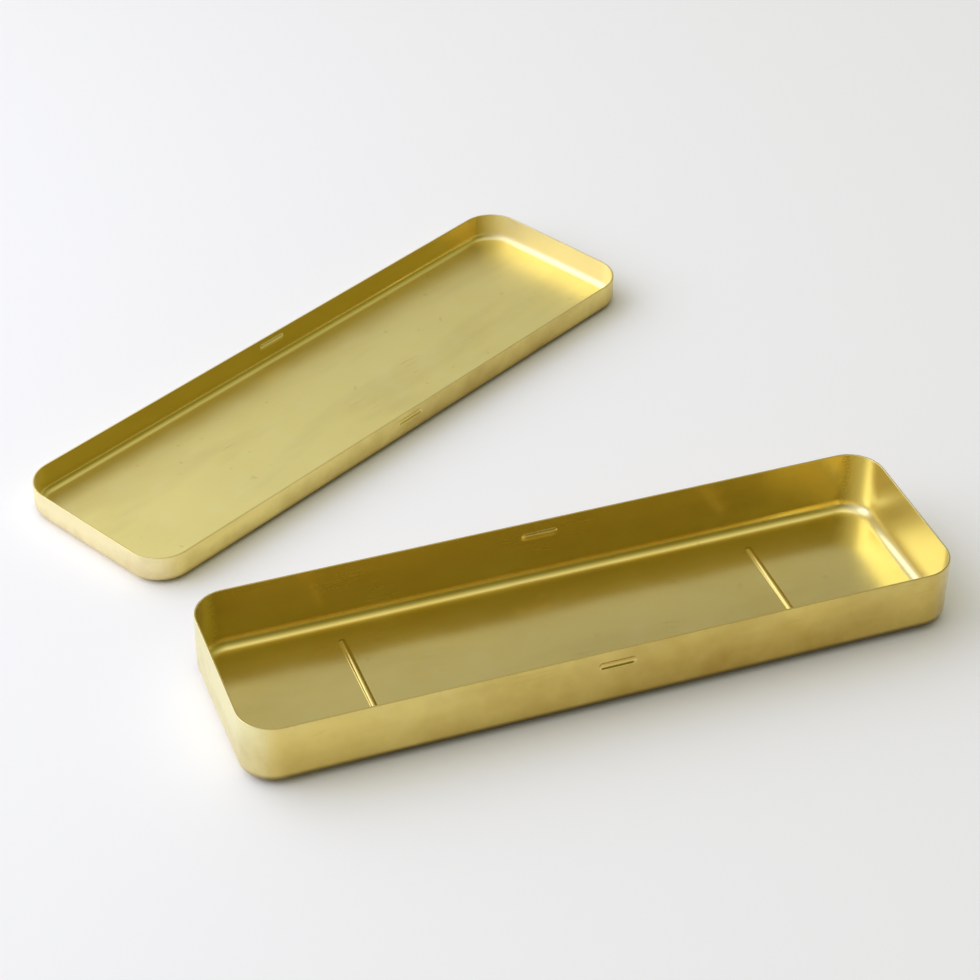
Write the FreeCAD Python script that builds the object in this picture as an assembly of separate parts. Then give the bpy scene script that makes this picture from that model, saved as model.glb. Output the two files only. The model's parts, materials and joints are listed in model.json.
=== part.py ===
import FreeCAD, Part
import math
import os

# Two-piece pen case drawn from thin brass sheet, in millimetres, +Z up.
# The origin is under the middle of the base tray, on the surface that it stands on, and +X runs along
# its length. The lid is off: it lies upside down beside the base, turned about +Z, with its inside up.

# Sheet, and how far the corners of its cut rim are broken
sheet = 0.5
rim_break = 0.08

# Base tray, outside sizes
base_length = 190.0
base_width = 54.5
base_height = 18.6
base_corner_radius = 9.4
base_edge_radius = 3.7

# Lid: it slides over the base with this clearance on every side
lid_clearance = 0.15
lid_height = 8.8
lid_edge_radius = 2.7

# Where the middle of the lid lies, and its turn in degrees
lid_x = -24.9
lid_y = 122.0
lid_turn = 28.1

# Two ribs pressed up across the floor of the base
rib_spacing = 114.0
rib_length = 38.0
rib_width = 1.6
rib_height = 0.45
rib_foot_radius = 0.3

# Snap beads of the lid, pressed inward in the middle of each long wall
bead_length = 9.4
bead_width = 1.6
bead_depth = 0.5
bead_drop = 2.4

# Grooves of the base that take those beads when the case is shut
groove_drop = 4.4
groove_clearance = 0.15

# Sizes that follow from the ones above
lid_step = lid_clearance + sheet
lid_length = base_length + 2 * lid_step
lid_width = base_width + 2 * lid_step
lid_corner_radius = base_corner_radius + lid_step
shut_overlap = bead_drop + groove_drop
shut_height = base_height + lid_height - shut_overlap


def plan_wire(length, width, radius, z):
    """Closed rounded rectangle at height z."""
    x = length / 2 - radius
    y = width / 2 - radius
    corners = [(x, y, 0), (-x, y, 90), (-x, -y, 180), (x, -y, 270)]
    arcs = []
    for centre_x, centre_y, start in corners:
        points = []
        for turn in (0, 45, 90):
            angle = math.radians(start + turn)
            across = centre_x + radius * math.cos(angle)
            along = centre_y + radius * math.sin(angle)
            points.append(FreeCAD.Vector(across, along, z))
        arcs.append(points)
    edges = []
    for number, points in enumerate(arcs):
        following = arcs[(number + 1) % len(arcs)]
        edges.append(Part.Arc(*points).toShape())
        edges.append(Part.LineSegment(points[2], following[0]).toShape())
    return Part.Wire(edges)


def edges_at_height(shape, z):
    """Edges of a shape that lie flat at height z."""
    found = []
    for edge in shape.Edges:
        box = edge.BoundBox
        if abs(box.ZMin - z) < 0.001 and abs(box.ZMax - z) < 0.001:
            found.append(edge)
    return found


def drawn_block(length, width, corner_radius, edge_radius, floor_z, top_z):
    """Block with rounded plan corners and a rounded bottom edge."""
    wire = plan_wire(length, width, corner_radius, floor_z)
    block = Part.Face(wire).extrude(FreeCAD.Vector(0, 0, top_z - floor_z))
    return block.makeFillet(edge_radius, edges_at_height(block, floor_z))


def capsule(start, end, radius):
    """Cylinder from start to end with a ball on each end."""
    along = end.sub(start)
    body = Part.makeCylinder(radius, along.Length, start, along)
    for centre in (start, end):
        body = body.fuse(Part.makeSphere(radius, centre))
    return body.removeSplitter()


def press_radius(depth, width):
    """Radius of a round tool that leaves a mark of this depth and width in a flat sheet."""
    return (depth * depth + width * width / 4) / (2 * depth)


def rib_marks():
    """Axis ends and tool radius of each floor rib, pressed from below."""
    ridge_radius = press_radius(rib_height, rib_width)
    axis_z = sheet + rib_height - ridge_radius
    reach = (rib_length - rib_width) / 2
    marks = []
    for x in (-rib_spacing / 2, rib_spacing / 2):
        start = FreeCAD.Vector(x, -reach, axis_z)
        end = FreeCAD.Vector(x, reach, axis_z)
        marks.append((start, end, ridge_radius - sheet))
    return marks


def wall_marks(wall_y, z, tool_radius):
    """Axis ends and tool radius of the mark pressed in each long wall from outside."""
    reach = (bead_length - bead_width) / 2
    marks = []
    for y in (-wall_y, wall_y):
        start = FreeCAD.Vector(-reach, y, z)
        end = FreeCAD.Vector(reach, y, z)
        marks.append((start, end, tool_radius))
    return marks


def pressed(block, marks, growth):
    """Block with the marks cut in it, each tool grown by this much."""
    for start, end, radius in marks:
        block = block.cut(capsule(start, end, radius + growth))
    return block


def round_rib_feet(block):
    """Round the folds where the ribs leave the floor, on the block that fills the inside of the base."""
    feet = []
    for edge in edges_at_height(block, sheet):
        for x in (-rib_spacing / 2, rib_spacing / 2):
            box = edge.BoundBox
            if abs(box.XMin - x) < rib_width and abs(box.XMax - x) < rib_width:
                feet.append(edge)
    return block.makeFillet(rib_foot_radius, feet)


def inside_block(length, width, height, corner_radius, edge_radius):
    """Block that fills a tray and stands out of its mouth."""
    inner_length = length - 2 * sheet
    inner_width = width - 2 * sheet
    return drawn_block(
        inner_length, inner_width, corner_radius - sheet, edge_radius - sheet, sheet, height + sheet
    )


def tray(outside, inside, height):
    """Sheet left between the outside and the inside, with the corners of its rim broken."""
    shell = outside.cut(inside)
    return shell.makeChamfer(rim_break, edges_at_height(shell, height))


def make_base():
    """Deep tray with two floor ribs, and a groove in each long wall for the bead of the lid."""
    sizes = (base_corner_radius, base_edge_radius)
    outside = drawn_block(base_length, base_width, *sizes, 0, base_height)
    inside = inside_block(base_length, base_width, base_height, *sizes)
    groove_radius = press_radius(bead_depth, bead_width) + sheet + groove_clearance
    grooves = wall_marks(bead_axis_y(), base_height - groove_drop, groove_radius)
    outside = pressed(outside, rib_marks() + grooves, 0)
    inside = round_rib_feet(pressed(inside, rib_marks(), sheet))
    inside = pressed(inside, grooves, sheet)
    return tray(outside, inside, base_height)


def bead_axis_y():
    """Distance of a bead's axis from the middle of the case, outside the lid's long wall."""
    return lid_width / 2 + press_radius(bead_depth, bead_width) - bead_depth


def make_lid():
    """Shallow tray with a bead in each long wall, upside down on the surface beside the base."""
    sizes = (lid_corner_radius, lid_edge_radius)
    outside = drawn_block(lid_length, lid_width, *sizes, 0, lid_height)
    inside = inside_block(lid_length, lid_width, lid_height, *sizes)
    beads = wall_marks(bead_axis_y(), lid_height - bead_drop, press_radius(bead_depth, bead_width))
    outside = pressed(outside, beads, 0)
    inside = pressed(inside, beads, sheet)
    lid = tray(outside, inside, lid_height)
    lid.rotate(FreeCAD.Vector(0, 0, 0), FreeCAD.Vector(0, 0, 1), lid_turn)
    lid.translate(FreeCAD.Vector(lid_x, lid_y, 0))
    return lid


def main():
    os.makedirs("parts", exist_ok=True)
    pieces = {"base_tray": make_base(), "lid": make_lid()}
    for name, shape in pieces.items():
        shape.exportStep("parts/" + name + ".step")
        print(name, "valid", shape.isValid(), "solids", len(shape.Solids), "volume", round(shape.Volume, 1))
    print("shut height", round(shut_height, 2), "overlap", round(shut_overlap, 2))


main()
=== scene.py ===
import json
import math

import bmesh
import bpy
from mathutils import Matrix, Quaternion, Vector


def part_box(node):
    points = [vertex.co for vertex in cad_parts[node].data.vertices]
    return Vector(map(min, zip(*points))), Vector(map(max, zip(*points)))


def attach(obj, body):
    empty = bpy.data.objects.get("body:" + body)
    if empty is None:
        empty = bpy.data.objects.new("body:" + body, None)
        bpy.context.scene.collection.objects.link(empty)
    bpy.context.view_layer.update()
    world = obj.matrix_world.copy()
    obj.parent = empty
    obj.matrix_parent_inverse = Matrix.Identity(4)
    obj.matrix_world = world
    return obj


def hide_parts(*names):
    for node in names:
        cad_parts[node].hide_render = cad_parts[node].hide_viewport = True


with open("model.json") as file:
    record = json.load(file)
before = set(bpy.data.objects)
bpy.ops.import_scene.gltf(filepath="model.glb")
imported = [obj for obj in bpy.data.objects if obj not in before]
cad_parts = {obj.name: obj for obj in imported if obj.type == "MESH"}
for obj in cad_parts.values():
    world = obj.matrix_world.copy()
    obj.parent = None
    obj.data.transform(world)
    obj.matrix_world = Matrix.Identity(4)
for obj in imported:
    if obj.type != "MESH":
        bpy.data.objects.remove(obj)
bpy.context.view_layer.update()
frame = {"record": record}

# A pen case of thin sheet brass: a deep base tray, and its lid lying open side up beside it.
# Both trays are pressed from flat blanks: the blank is a mesh that is fine where marks are pressed
# in it, and a node tree draws it up into a tray and gives it the thickness of the sheet.

MM = 0.001

# Sheet
SHEET = 0.5 * MM
RIM_RADIUS = 0.14 * MM

# Base tray: its length, width and height come from the frame
base_low, base_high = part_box("base_tray")
BASE_LENGTH, BASE_WIDTH, BASE_HEIGHT = base_high - base_low
BASE_CORNER_RADIUS = 9.4 * MM
BASE_EDGE_RADIUS = 3.7 * MM

# Lid: it fits round the base with this clearance, and its place comes from the frame
LID_CLEARANCE = 0.15 * MM
LID_STEP = LID_CLEARANCE + SHEET
LID_LENGTH = BASE_LENGTH + 2 * LID_STEP
LID_WIDTH = BASE_WIDTH + 2 * LID_STEP
LID_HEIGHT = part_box("lid")[1].z
LID_CORNER_RADIUS = BASE_CORNER_RADIUS + LID_STEP
LID_EDGE_RADIUS = 2.7 * MM
LID_PLACE = Vector(next(m["pos_m"] for m in frame["record"]["mounts"] if m["name"] == "lid_panel"))
LID_TURN = math.radians(28.1)

# Ribs pressed up in the floor of the base
RIB_SPACING = 114 * MM
RIB_LENGTH = 38 * MM
RIB_WIDTH = 1.6 * MM
RIB_HEIGHT = 0.45 * MM
RIB_FOLD = 0.3 * MM

# Snap marks pressed in the middle of each long wall
MARK_LENGTH = 9.4 * MM
MARK_DEPTH = 0.5 * MM
MARK_FOLD = 0.12 * MM
GROOVE_WIDTH = 2.27 * MM
GROOVE_DROP = 4.4 * MM
BEAD_WIDTH = 1.6 * MM
BEAD_DROP = 2.4 * MM

# How far the sheet seems to spring outward at the rims of the long walls, and how much lower the middle
# of each floor seems to lie than its edges. Only the reflections show it.
BASE_SPRING = 0.1 * MM
BASE_DISH = 1.0 * MM
LID_SPRING = 0.4 * MM
LID_DISH = -0.4 * MM

# How finely the blanks are divided
COARSE_STEP = 4 * MM
FINE_STEP = 0.12 * MM
FOLD_STEP = 0.3 * MM
CORNER_STEPS = 20
FINE_MARGIN = 1.0 * MM

# Camera, fitted to the outlines of both trays in the photo
CAMERA_PLACE = Vector((-0.2075, -0.4879, 0.4544))
CAMERA_TARGET = Vector((0.0008, 0.0662, 0.0))
CAMERA_ROLL = math.radians(0.82)
CAMERA_LENS = 99.67
SENSOR_WIDTH = 36.0

# Colours, as linear red, green and blue. Each brass is given as it mostly is, where it is warm, and where
# it is pale.
BASE_BRASS = ((0.83, 0.67, 0.22, 1), (0.81, 0.63, 0.18, 1), (0.85, 0.71, 0.28, 1))
# The lid's brass is the base's painted lighter and bluer, as painted light on the same sheet brass
LID_BRASS_PAINTED_LIGHTER = ((0.97, 0.83, 0.31, 1), (0.96, 0.81, 0.28, 1), (0.98, 0.865, 0.38, 1))
# Paler brass painted on the end walls: a painted highlight standing in for the window's reflection in them
BASE_END_HIGHLIGHT = (0.9, 0.84, 0.49, 1)
LID_END_HIGHLIGHT = (0.96, 0.87, 0.56, 1)
FLOOR_COLOUR = (0.95, 0.93, 0.91, 1)
BACKDROP_COLOUR = (0.9, 0.9, 0.9, 1)
BACKDROP_FULL = 0.12
BACKDROP_TOP = 0.2
# Dark colour of the walls: tarnish mixed with painted shade, which is darker towards the bottom of the outer
# walls
SHADE_AND_TARNISH_COLOUR = (0.42, 0.26, 0.04, 1)
SPOT_COLOUR = (0.45, 0.33, 0.12, 1)
# Painted shadow along the foot of the outer long walls
FOOT_SHADOW_COLOUR = (0.14, 0.09, 0.015, 1)

# Roughness of each tray where it is smoothest and where it is roughest
BASE_ROUGHNESS = (0.17, 0.25)
LID_ROUGHNESS = (0.32, 0.42)

# How much rougher the inside of the long walls is than the floor
BASE_WALL_ROUGHER = 0.2
LID_WALL_ROUGHER = -0.4

# How strongly the inside of the snap marks is painted in the pale end colour, a painted highlight
BASE_MARK_HIGHLIGHT = 0.15
LID_MARK_HIGHLIGHT = 0.9

# Share of painted shade and tarnish on the outside of the walls, and of darker colour on their inside
BASE_SHADE_AND_TARNISH_SHARES = (0.48, 0.0)
LID_SHADE_AND_TARNISH_SHARES = (0.5, 0.5)

# Light: azimuths turn from +Y towards -X, in degrees
FLOOR_RADIUS = 3.0
LIT_PLACE = Vector((0.0, 0.06, 0.0))
LIGHT_COLOUR = (0.94, 1.0, 1.3)
WINDOW = (62, 42, 0.62, (0.78, 0.57), 1.28)
SIDE_LIGHT = (88, 30, 0.58, (0.3, 0.3), 0.2)
SKY_AZIMUTH = math.radians(60)
WINDOW_SIDE = Vector((-math.sin(SKY_AZIMUTH), math.cos(SKY_AZIMUTH), 0.0))
SKY_CONTRAST = 1.6
SKY_LEVEL = 0.32
SKY_FLOOR = 0.06
SKY_RIGHT = 0.2
SKY_WARM = (1.0, 0.97, 0.2, 1)
SKY_WHITE = (1.0, 1.03, 1.12, 1)
CEILING_LEVEL = 0.86
CEILING_COLOUR = (1.0, 1.0, 1.0, 1)
CEILING_FOCUS = 7.5


class Flow:
    """A socket of a node tree, which sums can be written with."""

    def __init__(self, tree, socket):
        self.tree = tree
        self.socket = socket

    def math(self, operation, *others):
        node = self.tree.nodes.new("ShaderNodeMath")
        node.operation = operation
        for place, value in enumerate((self, *others)):
            feed(self.tree, node.inputs[place], value)
        return Flow(self.tree, node.outputs[0])

    def __add__(self, other):
        return self.math("ADD", other)

    def __sub__(self, other):
        return self.math("SUBTRACT", other)

    def __mul__(self, other):
        return self.math("MULTIPLY", other)

    def __truediv__(self, other):
        return self.math("DIVIDE", other)

    def low(self, other):
        return self.math("MINIMUM", other)

    def high(self, other):
        return self.math("MAXIMUM", other)

    def within(self, low, high):
        return self.high(low).low(high)

    def under(self, other):
        return self.math("LESS_THAN", other)

    def root(self):
        return self.high(0.0).math("SQRT")

    def size(self):
        return self.math("ABSOLUTE")


def feed(tree, socket, value):
    """Link a flow to a socket, or write a plain value on it."""
    if isinstance(value, Flow):
        tree.links.new(value.socket, socket)
    else:
        socket.default_value = value


def add_node(tree, kind, settings=None, **inputs):
    """Node of this kind with its settings, and its inputs fed by name."""
    node = tree.nodes.new(kind)
    for name, value in (settings or {}).items():
        setattr(node, name, value)
    for name, value in inputs.items():
        feed(tree, node.inputs[name.replace("_", " ")], value)
    return node


def output(node, name=0):
    return Flow(node.id_data, node.outputs[name])


def new_group(name, kind, inputs, outputs):
    """Empty node group with these sockets, and its inputs by name."""
    tree = bpy.data.node_groups.new(name, kind)
    for label, socket_type in inputs:
        tree.interface.new_socket(name=label, in_out="INPUT", socket_type=socket_type)
    for label, socket_type in outputs:
        tree.interface.new_socket(name=label, in_out="OUTPUT", socket_type=socket_type)
    start = tree.nodes.new("NodeGroupInput")
    end = tree.nodes.new("NodeGroupOutput")
    flows = {label: Flow(tree, start.outputs[label]) for label, _ in inputs}
    return tree, flows, end


def split(tree, vector):
    """The x, y and z of a vector."""
    node = tree.nodes.new("ShaderNodeSeparateXYZ")
    feed(tree, node.inputs[0], vector)
    return [Flow(tree, socket) for socket in node.outputs]


def join(tree, x, y, z):
    """Vector of these x, y and z."""
    node = tree.nodes.new("ShaderNodeCombineXYZ")
    for place, value in enumerate((x, y, z)):
        feed(tree, node.inputs[place], value)
    return Flow(tree, node.outputs[0])


def pressed_profile():
    """Node group: height of a mark with a round crown and round folds, at a distance from its middle line."""
    sockets = [(name, "NodeSocketFloat") for name in ("Distance", "Height", "Width", "Fold")]
    tree, given, end = new_group(
        "pressed_profile", "GeometryNodeTree", sockets, [("Height", "NodeSocketFloat")]
    )
    distance, height, width, fold = (given[name] for name, _ in sockets)
    crown = (height * height + width * width / 4.0) / height / 2.0
    centre = height - crown
    foot = ((crown + fold) * (crown + fold) - (fold - centre) * (fold - centre)).root()
    tangent = foot * crown / (crown + fold)
    on_crown = (crown * crown - distance * distance).root() + centre
    off_foot = (foot - distance).high(0.0)
    on_fold = fold - (fold * fold - off_foot * off_foot).root()
    is_crown = distance.under(tangent)
    shape = on_crown * is_crown + on_fold * (is_crown * -1.0 + 1.0)
    feed(tree, end.inputs["Height"], shape)
    return tree


def mark_height(tree, profile, along, across, length, width, height, fold):
    """Height of a long mark with round ends, from how far a point is along it and across it."""
    past_end = (along.size() - (length - width) / 2.0).high(0.0)
    distance = (past_end * past_end + across * across).root()
    node = add_node(
        tree,
        "GeometryNodeGroup",
        {"node_tree": profile},
        Distance=distance,
        Height=height,
        Width=width,
        Fold=fold,
    )
    return output(node)


TRAY_SIZES = (
    "Length",
    "Width",
    "Height",
    "Corner Radius",
    "Edge Radius",
    "Sheet",
    "Rim Radius",
    "Mark Length",
    "Mark Width",
    "Mark Depth",
    "Mark Drop",
    "Mark Fold",
    "Rib Spacing",
    "Rib Length",
    "Rib Width",
    "Rib Height",
    "Rib Fold",
)


def drawing_tree():
    """Geometry nodes that draw a flat blank up into a tray.

    A point of the blank lies at a distance from the inner rectangle, whose corners are the centres
    of the tray's round corners. That distance, rolled up along the section of the tray, gives how
    far out and how high the point ends up.
    """
    profile = pressed_profile()
    sockets = [("Blank", "NodeSocketGeometry"), ("Material", "NodeSocketMaterial")]
    sockets += [(name, "NodeSocketFloat") for name in TRAY_SIZES]
    tree, given, end = new_group(
        "drawn_tray", "GeometryNodeTree", sockets, [("Tray", "NodeSocketGeometry")]
    )
    quarter = math.pi / 2
    corner = given["Corner Radius"]
    edge = given["Edge Radius"]
    rim = given["Rim Radius"]
    sheet = given["Sheet"]

    here_x, here_y, _ = split(tree, output(add_node(tree, "GeometryNodeInputPosition")))
    half_x = given["Length"] / 2.0 - corner
    half_y = given["Width"] / 2.0 - corner
    inner_x = here_x.within(half_x * -1.0, half_x)
    inner_y = here_y.within(half_y * -1.0, half_y)
    off_x = here_x - inner_x
    off_y = here_y - inner_y
    reach = (off_x * off_x + off_y * off_y).root()
    out_x = off_x / reach.high(1e-9)
    out_y = off_y / reach.high(1e-9)

    floor_end = corner - edge
    wall_start = floor_end + edge * quarter
    wall_length = given["Height"] - rim - edge
    wall_end = wall_start + wall_length
    fillet_turn = ((reach - floor_end) / edge).within(0.0, quarter)
    rim_turn = ((reach - wall_end) / rim).within(0.0, quarter)
    lean = fillet_turn.math("SINE")
    level = fillet_turn.math("COSINE")
    out = reach.low(floor_end) + edge * lean
    up = edge * (level * -1.0 + 1.0)
    up = up + (reach - wall_start).within(0.0, wall_length) + rim * rim_turn.math("SINE")
    rim_depth = rim * (rim_turn.math("COSINE") * -1.0 + 1.0)
    rim_depth = rim_depth + (reach - wall_end - rim * quarter).within(0.0, sheet / 2.0 - rim)

    mark_reach = wall_end + rim - given["Mark Drop"]
    mark = mark_height(
        tree,
        profile,
        here_x,
        reach - mark_reach,
        given["Mark Length"],
        given["Mark Width"],
        given["Mark Depth"],
        given["Mark Fold"],
    )
    rib = mark_height(
        tree,
        profile,
        here_y,
        here_x.size() - given["Rib Spacing"] / 2.0,
        given["Rib Length"],
        given["Rib Width"],
        given["Rib Height"],
        given["Rib Fold"],
    )
    pressed = mark + rib

    faces = []
    for depth, is_outside in ((rim_depth, True), (sheet - rim_depth, False)):
        inward = pressed + depth
        sideways = out - lean * inward
        place = join(tree, inner_x + out_x * sideways, inner_y + out_y * sideways, up + level * inward)
        moved = add_node(tree, "GeometryNodeSetPosition", Geometry=given["Blank"], Position=place)
        if is_outside:
            moved = add_node(tree, "GeometryNodeFlipFaces", Mesh=output(moved))
        faces.append(output(moved))
    both = tree.nodes.new("GeometryNodeJoinGeometry")
    for face in faces:
        tree.links.new(face.socket, both.inputs[0])
    closed = add_node(tree, "GeometryNodeMergeByDistance", Geometry=output(both), Distance=1e-6)
    smooth = add_node(tree, "GeometryNodeSetShadeSmooth", Geometry=output(closed))
    real = add_node(tree, "GeometryNodeRealizeInstances", Geometry=output(smooth))
    dressed = add_node(
        tree, "GeometryNodeSetMaterial", Geometry=output(real), Material=given["Material"]
    )
    feed(tree, end.inputs["Tray"], output(dressed))
    return tree


def stations(breaks):
    """Places along a line. Each break is a place and the longest step that may follow it."""
    places = []
    for (here, step), (there, _) in zip(breaks, breaks[1:]):
        count = math.ceil((there - here) / step)
        places += [here + (there - here) * number / count for number in range(count)]
    return places + [breaks[-1][0]]


def both_ways(places):
    """The same places on both sides of zero."""
    return [-place for place in reversed(places[1:])] + places


def blank_mesh(name, xs, ys, reaches):
    """Flat blank: a grid inside the inner rectangle, and rings round it at each reach."""
    half_x = xs[-1]
    half_y = ys[-1]
    walls = [
        ([(half_x, y) for y in ys], 0),
        ([(x, half_y) for x in reversed(xs)], 90),
        ([(-half_x, y) for y in reversed(ys)], 180),
        ([(x, -half_y) for x in xs], 270),
    ]
    around = []
    for places, angle in walls:
        around += [(place, angle) for place in places]
        for step in range(1, CORNER_STEPS):
            around.append((places[-1], angle + 90 * step / CORNER_STEPS))

    mesh = bmesh.new()
    grid = [[mesh.verts.new((x, y, 0)) for y in ys] for x in xs]
    rings = []
    for (x, y), angle in around:
        out_x = math.cos(math.radians(angle))
        out_y = math.sin(math.radians(angle))
        rings.append([mesh.verts.new((x + out_x * r, y + out_y * r, 0)) for r in reaches])
    add_quads(mesh, grid)
    add_quads(mesh, [list(reversed(ring)) for ring in rings + rings[:1]])
    bmesh.ops.remove_doubles(mesh, verts=mesh.verts, dist=1e-7)
    data = bpy.data.meshes.new(name)
    mesh.to_mesh(data)
    mesh.free()
    return data


def add_quads(mesh, rows):
    """Faces between each row of points and the next."""
    for row, following in zip(rows, rows[1:]):
        for number in range(len(row) - 1):
            corners = (row[number], following[number], following[number + 1], row[number + 1])
            mesh.faces.new(corners)


def tray_blank(name, sizes):
    """Blank for a tray of these sizes, fine round its marks and its ribs."""
    corner = sizes["Corner Radius"]
    edge = sizes["Edge Radius"]
    rim = sizes["Rim Radius"]
    half_x = sizes["Length"] / 2 - corner
    half_y = sizes["Width"] / 2 - corner
    mark_end = sizes["Mark Length"] / 2
    mark_width = sizes["Mark Width"]
    rib_x = sizes["Rib Spacing"] / 2
    floor_end = corner - edge
    wall_start = floor_end + edge * math.pi / 2
    wall_end = wall_start + sizes["Height"] - rim - edge
    mark_reach = wall_end + rim - sizes["Mark Drop"]
    mark_half = mark_width / 2 + FINE_MARGIN / 2
    rim_end = wall_end + rim * math.pi / 2

    along = [
        (0, 4 * FINE_STEP),
        (mark_end - mark_width, FINE_STEP),
        (mark_end + FINE_MARGIN / 2, COARSE_STEP),
    ]
    inside = [(0, COARSE_STEP)]
    across = [(0, COARSE_STEP)]
    if sizes["Rib Height"] > 0:
        rib_half = sizes["Rib Width"] / 2 + FINE_MARGIN
        along += [(rib_x - rib_half, FINE_STEP), (rib_x + rib_half, COARSE_STEP)]
        rib_end = sizes["Rib Length"] / 2 + FINE_MARGIN - half_y
        across = [(0, FINE_STEP), (rib_end, COARSE_STEP)]
    along.append((half_x, None))
    inside.append((half_y, None))
    across += [
        (floor_end - FOLD_STEP / 2, FOLD_STEP),
        (floor_end, FOLD_STEP),
        (wall_start, FOLD_STEP),
        (wall_start + FOLD_STEP / 2, COARSE_STEP / 2),
        (mark_reach - mark_half, FINE_STEP),
        (mark_reach + mark_half, COARSE_STEP / 2),
        (wall_end - rim, rim),
        (wall_end, rim * math.pi / 2 / 6),
        (rim_end, rim),
        (rim_end + sizes["Sheet"] / 2 - rim, None),
    ]
    return blank_mesh(
        name, both_ways(stations(along)), both_ways(stations(inside)), stations(across)
    )


def drawn_tray(name, tree, sizes, material):
    """Tray drawn from its blank, as a plain mesh."""
    blank = bpy.data.objects.new(name + "_blank", tray_blank(name + "_blank", sizes))
    bpy.context.scene.collection.objects.link(blank)
    modifier = blank.modifiers.new("drawn_tray", "NODES")
    modifier.node_group = tree
    for item in tree.interface.items_tree:
        if item.in_out == "INPUT" and item.name in sizes:
            modifier[item.identifier] = sizes[item.name]
        if item.name == "Material":
            modifier[item.identifier] = material
    evaluated = blank.evaluated_get(bpy.context.evaluated_depsgraph_get())
    data = bpy.data.meshes.new_from_object(evaluated)
    data.name = name
    bpy.data.objects.remove(blank)
    tray = bpy.data.objects.new(name, data)
    bpy.context.scene.collection.objects.link(tray)
    return tray


def base_sizes():
    return {
        "Length": BASE_LENGTH,
        "Width": BASE_WIDTH,
        "Height": BASE_HEIGHT,
        "Corner Radius": BASE_CORNER_RADIUS,
        "Edge Radius": BASE_EDGE_RADIUS,
        "Sheet": SHEET,
        "Rim Radius": RIM_RADIUS,
        "Mark Length": MARK_LENGTH + GROOVE_WIDTH - BEAD_WIDTH,
        "Mark Width": GROOVE_WIDTH,
        "Mark Depth": MARK_DEPTH,
        "Mark Drop": GROOVE_DROP,
        "Mark Fold": MARK_FOLD,
        "Rib Spacing": RIB_SPACING,
        "Rib Length": RIB_LENGTH,
        "Rib Width": RIB_WIDTH,
        "Rib Height": RIB_HEIGHT,
        "Rib Fold": RIB_FOLD,
    }


def lid_sizes():
    sizes = base_sizes()
    sizes.update(
        {
            "Length": LID_LENGTH,
            "Width": LID_WIDTH,
            "Height": LID_HEIGHT,
            "Corner Radius": LID_CORNER_RADIUS,
            "Edge Radius": LID_EDGE_RADIUS,
            "Mark Length": MARK_LENGTH,
            "Mark Width": BEAD_WIDTH,
            "Mark Drop": BEAD_DROP,
            "Rib Height": 0.0,
        }
    )
    return sizes


def noise(tree, vector, scale, detail=2.0, roughness=0.5):
    """Noise between 0 and 1, with this many lumps to a metre."""
    settings = {"noise_dimensions": "3D"}
    node = add_node(
        tree,
        "ShaderNodeTexNoise",
        settings,
        Vector=vector,
        Scale=scale,
        Detail=detail,
        Roughness=roughness,
    )
    return output(node, "Fac")


def stretched(tree, vector, x, y, z):
    """Vector with its parts scaled one by one."""
    along, across, up = split(tree, vector)
    return join(tree, along * x, across * y, up * z)


def sheet_finish():
    """Shader group: the surface of handled brass sheet, on coordinates turned with its tray."""
    inputs = [
        ("Vector", "NodeSocketVector"),
        ("Colour", "NodeSocketColor"),
        ("Warm Colour", "NodeSocketColor"),
        ("Pale Colour", "NodeSocketColor"),
        ("Tarnish", "NodeSocketColor"),
        ("Smoothest", "NodeSocketFloat"),
        ("Roughest", "NodeSocketFloat"),
    ]
    outputs = [
        ("Colour", "NodeSocketColor"),
        ("Roughness", "NodeSocketFloat"),
        ("Height", "NodeSocketFloat"),
    ]
    tree, given, end = new_group("sheet_finish", "ShaderNodeTree", inputs, outputs)
    vector = given["Vector"]
    clouds = noise(tree, vector, 28.0, 3.0)
    smudges = noise(tree, vector, 95.0, 4.0, 0.6)
    grain = noise(tree, stretched(tree, vector, 60.0, 2600.0, 2600.0), 1.0, 2.0)
    speckle = noise(tree, vector, 2400.0, 2.0)
    scratches = scratch_mask(tree, vector)
    streaks = noise(tree, stretched(tree, vector, 14.0, 60.0, 90.0), 1.0, 3.0, 0.6)
    spots = noise(tree, vector, 260.0, 1.0)

    warm = add_node(tree, "ShaderNodeMix", {"data_type": "RGBA"})
    feed(tree, warm.inputs[0], ((clouds - 0.42) * 2.6).within(0.0, 0.75))
    feed(tree, warm.inputs[6], given["Colour"])
    feed(tree, warm.inputs[7], given["Warm Colour"])
    pale = add_node(tree, "ShaderNodeMix", {"data_type": "RGBA"})
    feed(tree, pale.inputs[0], ((smudges - 0.5) * 1.8).within(0.0, 0.5))
    feed(tree, pale.inputs[6], Flow(tree, warm.outputs[2]))
    feed(tree, pale.inputs[7], given["Pale Colour"])
    dull = ((streaks - 0.5) * 0.8).within(0.0, 0.1) + ((spots - 0.74) * 6.0).within(0.0, 0.14)
    dull = dull + scratches * 0.3
    tarnished = add_node(tree, "ShaderNodeMix", {"data_type": "RGBA"})
    feed(tree, tarnished.inputs[0], dull)
    feed(tree, tarnished.inputs[6], Flow(tree, pale.outputs[2]))
    feed(tree, tarnished.inputs[7], given["Tarnish"])
    feed(tree, end.inputs["Colour"], Flow(tree, tarnished.outputs[2]))

    spread = given["Roughest"] - given["Smoothest"]
    roughness = given["Smoothest"] + spread * (smudges * 0.6 + grain * 0.4)
    feed(tree, end.inputs["Roughness"], roughness + scratches * 0.08)
    height = grain * 0.35 + speckle * 0.5 - scratches * 0.6
    feed(tree, end.inputs["Height"], height)
    return tree


def scratch_mask(tree, vector):
    """Sparse thin scratches that run about along the tray."""
    lines = noise(tree, stretched(tree, vector, 22.0, 700.0, 500.0), 1.0, 1.0)
    thin = ((lines - 0.5).size() * -60.0 + 1.0).within(0.0, 1.0)
    where = noise(tree, vector, 60.0, 1.0)
    return thin * ((where - 0.6) * 8.0).within(0.0, 1.0)


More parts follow.
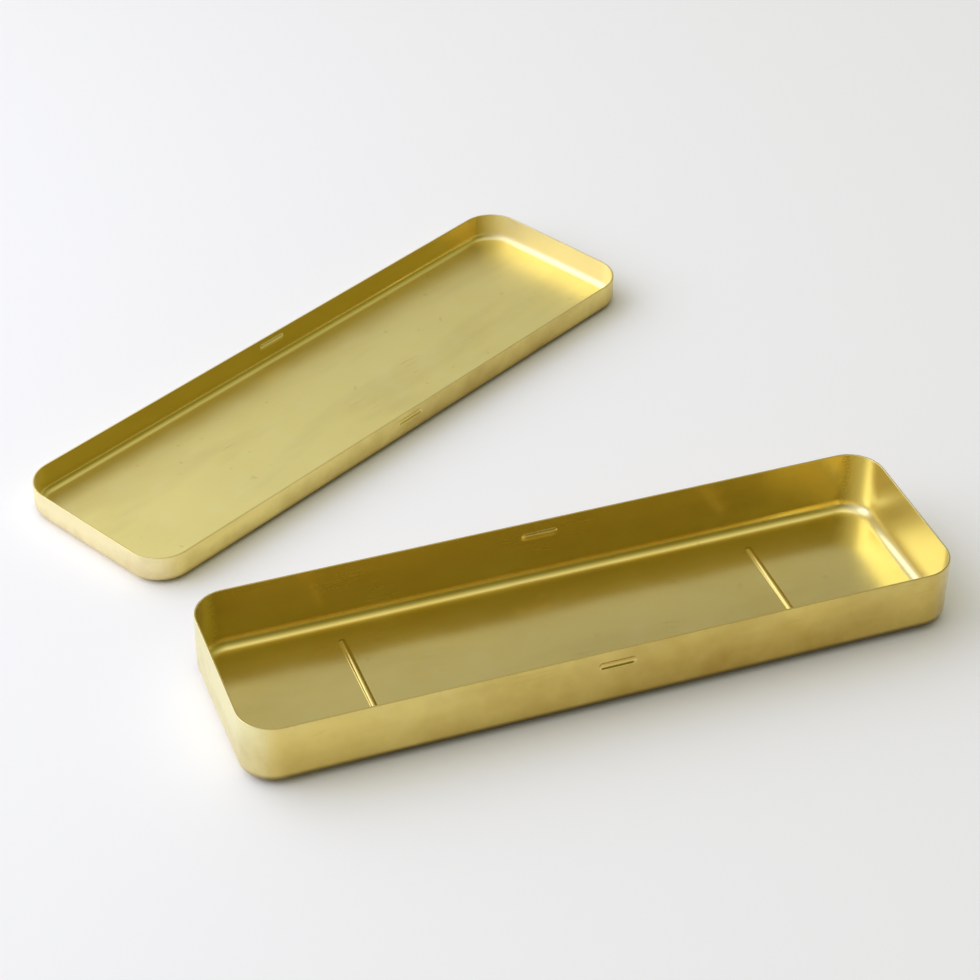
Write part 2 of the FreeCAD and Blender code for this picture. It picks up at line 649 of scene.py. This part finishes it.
def vector_sum(tree, *parts):
    """Sum of vectors, each given with the amount of it."""
    total = None
    for vector, amount in parts:
        scaled = add_node(tree, "ShaderNodeVectorMath", {"operation": "SCALE"}, Scale=amount)
        feed(tree, scaled.inputs[0], vector)
        if total is None:
            total = output(scaled)
            continue
        both = add_node(tree, "ShaderNodeVectorMath", {"operation": "ADD"})
        feed(tree, both.inputs[0], total)
        feed(tree, both.inputs[1], output(scaled))
        total = output(both)
    return total


def dot(tree, first, second):
    node = add_node(tree, "ShaderNodeVectorMath", {"operation": "DOT_PRODUCT"})
    feed(tree, node.inputs[0], first)
    feed(tree, node.inputs[1], second)
    return output(node, "Value")


PLACES = ("Ends", "Outside", "Inside", "Rim", "Mark", "Foot Shadow")


def wall_places():
    """Shader group: where a tray's end walls are, and the outside and inside of its long walls."""
    inputs = [("Vector", "NodeSocketVector"), ("Normal", "NodeSocketVector")]
    inputs += [("Along", "NodeSocketVector"), ("Across", "NodeSocketVector")]
    numbers = ("Half Length", "Half Width", "Height", "Mark Length", "Mark Width", "Mark Drop")
    inputs += [(name, "NodeSocketFloat") for name in numbers]
    outputs = [(name, "NodeSocketFloat") for name in PLACES]
    tree, given, end = new_group("wall_places", "ShaderNodeTree", inputs, outputs)
    x, y, z = split(tree, given["Vector"])
    part = x / given["Half Length"]
    level = z / given["Height"]
    outward = dot(tree, given["Normal"], given["Across"]) * y.math("SIGN")
    endward = dot(tree, given["Normal"], given["Along"]) * x.math("SIGN")
    clouds = noise(tree, given["Vector"], 45.0, 3.0)
    # The end walls, which are painted paler as a painted highlight and made rougher
    ends = endward.size() * ((part.size() - 0.9) * 20.0).within(0.0, 1.0)
    feed(tree, end.inputs["Ends"], ends)
    patches = noise(tree, given["Vector"], 170.0, 4.0, 0.6)
    mottled = (clouds - 0.5) * 1.7 + (patches - 0.5) * 0.9
    # Painted shadow: the foot of the outer long walls is darkened, fading out at the lit left end
    foot = (level * -5.0 + 1.0).within(0.0, 1.0) * outward * 3.0
    feed(tree, end.inputs["Foot Shadow"], foot.within(0.0, 1.0) * (part + 1.6).within(0.0, 1.0))
    # Painted shade on the outside walls: darker towards the bottom and lighter at the lit left end; the
    # mottled part is tarnish
    shade_along_length = (part * 0.8 + 1.5).low(1.45)
    outside_shade_and_tarnish = (shade_along_length - level + mottled).within(0.0, 1.7)
    feed(tree, end.inputs["Outside"], (outward + endward).within(0.0, 1.0) * outside_shade_and_tarnish)
    feed(tree, end.inputs["Inside"], (outward * -1.0).within(0.0, 1.0) * (ends * -1.0 + 1.0))
    below_rim = given["Height"] - z
    beside = x.size() / given["Mark Length"] * -2.0 + 1.0
    above = (below_rim - given["Mark Drop"]).size() / given["Mark Width"] * -1.3 + 1.0
    mark = (beside * 9.0).within(0.0, 1.0) * (above * 3.0).within(0.0, 1.0)
    feed(tree, end.inputs["Mark"], mark * (outward * -1.0).within(0.0, 1.0))
    feed(tree, end.inputs["Rim"], (below_rim / (-0.4 * MM) + 1.0).within(0.0, 1.0))
    return tree


def sprung_sheet():
    """Shader group: the normal of a tray whose long walls spring outward and whose floor is dished."""
    inputs = [("Vector", "NodeSocketVector"), ("Normal", "NodeSocketVector")]
    inputs += [("Along", "NodeSocketVector"), ("Across", "NodeSocketVector")]
    numbers = ("Half Length", "Half Width", "Height", "Spring", "Dish")
    inputs += [(name, "NodeSocketFloat") for name in numbers]
    outputs = [("Normal", "NodeSocketVector")]
    tree, given, end = new_group("sprung_sheet", "ShaderNodeTree", inputs, outputs)
    upward = (0.0, 0.0, 1.0)
    x, y, z = split(tree, given["Vector"])
    part = x / given["Half Length"]
    side = y / given["Half Width"]
    level = z / given["Height"]

    outward = dot(tree, given["Normal"], given["Across"]) * y.math("SIGN")
    spring = given["Spring"] * outward * -2.0
    wall_up = level * (part * part * -1.0 + 1.0) * spring / given["Height"]
    wall_along = level * level * part * spring * -1.0 / given["Half Length"]

    dish = dot(tree, given["Normal"], upward) * given["Dish"] * -2.0
    inner = side * side * -1.0 + 1.0
    floor_along = part * dish * 2.0 / given["Half Length"]
    floor_across = side * inner * inner * dish * 3.0 / given["Half Width"]

    leaning = vector_sum(
        tree,
        (given["Normal"], 1.0),
        (upward, wall_up),
        (given["Along"], wall_along + floor_along),
        (given["Across"], floor_across),
    )
    unit = add_node(tree, "ShaderNodeVectorMath", {"operation": "NORMALIZE"})
    feed(tree, unit.inputs[0], leaning)
    feed(tree, end.inputs["Normal"], output(unit))
    return tree


def blend(tree, amount, first, second):
    """Colour between two others."""
    node = add_node(tree, "ShaderNodeMix", {"data_type": "RGBA"})
    feed(tree, node.inputs[0], amount)
    feed(tree, node.inputs[6], first)
    feed(tree, node.inputs[7], second)
    return Flow(tree, node.outputs[2])


def brass_material(name, groups, looks, place, turn, sizes, spring, dish):
    """Satin brass sheet, its grain running along a tray that lies at this place and turn."""
    finish, places, sprung = groups
    colours, end_highlight_colour, roughness, rougher, shade_and_tarnish, mark_highlight = looks
    material = bpy.data.materials.new(name)
    material.use_nodes = True
    tree = material.node_tree
    tree.nodes.clear()
    coordinates = output(add_node(tree, "ShaderNodeTexCoord"), "Object")
    turned = add_node(tree, "ShaderNodeMapping", {"vector_type": "TEXTURE"}, Vector=coordinates)
    turned.inputs["Location"].default_value = place
    turned.inputs["Rotation"].default_value = (0, 0, turn)
    surface = add_node(
        tree,
        "ShaderNodeGroup",
        {"node_tree": finish},
        Vector=output(turned),
        Colour=colours[0],
        Warm_Colour=colours[1],
        Pale_Colour=colours[2],
        Tarnish=SPOT_COLOUR,
        Smoothest=roughness[0],
        Roughest=roughness[1],
    )
    tray = {
        "Vector": output(turned),
        "Normal": output(add_node(tree, "ShaderNodeNewGeometry"), "Normal"),
        "Along": (math.cos(turn), math.sin(turn), 0),
        "Across": (-math.sin(turn), math.cos(turn), 0),
        "Half_Length": sizes["Length"] / 2,
        "Half_Width": sizes["Width"] / 2,
        "Height": sizes["Height"],
    }
    marks = {
        "Mark_Length": sizes["Mark Length"],
        "Mark_Width": sizes["Mark Width"],
        "Mark_Drop": sizes["Mark Drop"],
    }
    where = add_node(tree, "ShaderNodeGroup", {"node_tree": places}, **tray, **marks)
    shape = add_node(tree, "ShaderNodeGroup", {"node_tree": sprung}, Spring=spring, Dish=dish, **tray)
    # Painted highlight: the end walls are painted paler, in place of the window's reflection in them
    colour = blend(tree, output(where, "Ends"), output(surface, "Colour"), end_highlight_colour)
    inside = output(where, "Inside")
    # Painted shade and tarnish: the outside walls darker towards the bottom, and the inside of the long walls
    # and the rim darker
    shade_and_tarnish_amount = output(where, "Outside") * shade_and_tarnish[0] + inside * shade_and_tarnish[1] + output(where, "Rim") * 0.25
    colour = blend(tree, shade_and_tarnish_amount.within(0.0, 0.9), colour, SHADE_AND_TARNISH_COLOUR)
    # Painted highlight: the inside of the snap marks is painted in the pale end colour
    colour = blend(tree, output(where, "Mark") * mark_highlight, colour, end_highlight_colour)
    # Painted shadow along the foot of the outer long walls
    colour = blend(tree, output(where, "Foot Shadow"), colour, FOOT_SHADOW_COLOUR)
    waves = noise(tree, output(turned), 22.0, 1.0)
    wavy = add_node(tree, "ShaderNodeBump", Height=waves, Distance=0.6 * MM, Normal=output(shape))
    wavy.inputs["Strength"].default_value = 1.0
    fine = add_node(
        tree,
        "ShaderNodeBump",
        Height=output(surface, "Height"),
        Distance=0.004 * MM,
        Normal=output(wavy),
    )
    shader = add_node(
        tree,
        "ShaderNodeBsdfPrincipled",
        Base_Color=colour,
        Roughness=output(surface, "Roughness") * (inside * rougher + output(where, "Ends") * 0.7 + 1.0),
        Metallic=1.0,
        Normal=output(fine),
    )
    result = add_node(tree, "ShaderNodeOutputMaterial", Surface=output(shader))
    result.is_active_output = True
    return material


def make_camera():
    """Camera at the photo's place, rolled a little about its own line of sight."""
    data = bpy.data.cameras.new("camera")
    data.lens = CAMERA_LENS
    data.sensor_width = SENSOR_WIDTH
    camera = bpy.data.objects.new("camera", data)
    bpy.context.scene.collection.objects.link(camera)
    aim = (CAMERA_TARGET - CAMERA_PLACE).to_track_quat("-Z", "Y")
    roll = Quaternion((0, 0, 1), CAMERA_ROLL)
    camera.rotation_mode = "QUATERNION"
    camera.rotation_quaternion = aim @ roll
    camera.location = CAMERA_PLACE
    bpy.context.scene.camera = camera


def floor_material():
    """Plain pale floor. The camera and mirrors see it as it is lit."""
    material = bpy.data.materials.new("pale_floor")
    material.use_nodes = True
    shader = material.node_tree.nodes["Principled BSDF"]
    shader.inputs["Base Color"].default_value = FLOOR_COLOUR
    shader.inputs["Roughness"].default_value = 0.9
    shader.inputs["Specular IOR Level"].default_value = 0.0
    return material


def make_floor():
    """Wide round floor under the trays."""
    mesh = bmesh.new()
    bmesh.ops.create_circle(mesh, cap_ends=True, segments=96, radius=FLOOR_RADIUS)
    data = bpy.data.meshes.new("floor")
    mesh.to_mesh(data)
    mesh.free()
    data.materials.append(floor_material())
    floor = bpy.data.objects.new("floor", data)
    bpy.context.scene.collection.objects.link(floor)


def make_world():
    """Soft surroundings: a pale ceiling over walls that are bright on the window side and warm on the other.

    Low down, behind the floor's far edge, all of it is a plain pale backdrop."""
    world = bpy.data.worlds.new("studio")
    bpy.context.scene.world = world
    world.use_nodes = True
    tree = world.node_tree
    tree.nodes.clear()
    ray = output(add_node(tree, "ShaderNodeTexCoord"), "Generated")
    x, y, z = split(tree, ray)
    toward = x * WINDOW_SIDE.x + y * WINDOW_SIDE.y + z * WINDOW_SIDE.z
    growth = (toward * SKY_CONTRAST).math("EXPONENT")
    right = (x - y.size() * 0.6).high(0.0)
    walls = growth * SKY_LEVEL + SKY_FLOOR + right * SKY_RIGHT
    overhead = ((z - 1.0) * CEILING_FOCUS).math("EXPONENT")
    brightness = walls + overhead * CEILING_LEVEL
    wall_tint = add_node(tree, "ShaderNodeMix", {"data_type": "RGBA"})
    feed(tree, wall_tint.inputs[0], ((toward + 0.7) * 1.4).within(0.0, 1.0))
    wall_tint.inputs[6].default_value = SKY_WARM
    wall_tint.inputs[7].default_value = SKY_WHITE
    tint = add_node(tree, "ShaderNodeMix", {"data_type": "RGBA"})
    feed(tree, tint.inputs[0], overhead)
    feed(tree, tint.inputs[6], Flow(tree, wall_tint.outputs[2]))
    tint.inputs[7].default_value = CEILING_COLOUR
    low = ((z - BACKDROP_TOP) / (BACKDROP_FULL - BACKDROP_TOP)).within(0.0, 1.0)
    strength = brightness + (brightness * -1.0 + 1.0) * low
    colour = blend(tree, low, Flow(tree, tint.outputs[2]), BACKDROP_COLOUR)
    room = add_node(tree, "ShaderNodeBackground", Color=colour, Strength=strength)
    add_node(tree, "ShaderNodeOutputWorld", Surface=output(room))


def make_light(name, azimuth, elevation, distance, size, power):
    """Soft rectangular light that faces the trays from this side and height, in degrees."""
    data = bpy.data.lights.new(name, "AREA")
    data.shape = "RECTANGLE"
    data.size = size[0]
    data.size_y = size[1]
    data.energy = power
    data.color = LIGHT_COLOUR
    light = bpy.data.objects.new(name, data)
    bpy.context.scene.collection.objects.link(light)
    azimuth = math.radians(azimuth)
    elevation = math.radians(elevation)
    way = Vector((-math.sin(azimuth), math.cos(azimuth), 0)) * math.cos(elevation)
    way.z = math.sin(elevation)
    light.location = LIT_PLACE + way * distance
    light.rotation_mode = "QUATERNION"
    light.rotation_quaternion = (-way).to_track_quat("-Z", "Y")


def make_trays():
    """Both trays in sheet brass, each riding on its body in place of its plain solid."""
    tree = drawing_tree()
    groups = (sheet_finish(), wall_places(), sprung_sheet())
    base_looks = (BASE_BRASS, BASE_END_HIGHLIGHT, BASE_ROUGHNESS, BASE_WALL_ROUGHER, BASE_SHADE_AND_TARNISH_SHARES, BASE_MARK_HIGHLIGHT)
    lid_looks = (LID_BRASS_PAINTED_LIGHTER, LID_END_HIGHLIGHT, LID_ROUGHNESS, LID_WALL_ROUGHER, LID_SHADE_AND_TARNISH_SHARES, LID_MARK_HIGHLIGHT)
    base_form = ((0, 0, 0), 0, base_sizes(), BASE_SPRING, BASE_DISH)
    lid_form = (LID_PLACE, LID_TURN, lid_sizes(), LID_SPRING, LID_DISH)
    base_brass = brass_material("base_brass", groups, base_looks, *base_form)
    lid_brass = brass_material("lid_brass", groups, lid_looks, *lid_form)
    base = drawn_tray("base_tray_sheet", tree, base_sizes(), base_brass)
    lid = drawn_tray("lid_sheet", tree, lid_sizes(), lid_brass)
    lid.data.transform(Matrix.Translation(LID_PLACE) @ Matrix.Rotation(LID_TURN, 4, "Z"))
    for tray, node, body in ((base, "base_tray", "base"), (lid, "lid", "lid")):
        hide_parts(node)
        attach(tray, body)


make_camera()
make_floor()
make_world()
make_light("window", *WINDOW)
make_light("side_light", *SIDE_LIGHT)
make_trays()
bpy.context.scene.view_settings.view_transform = "Standard"
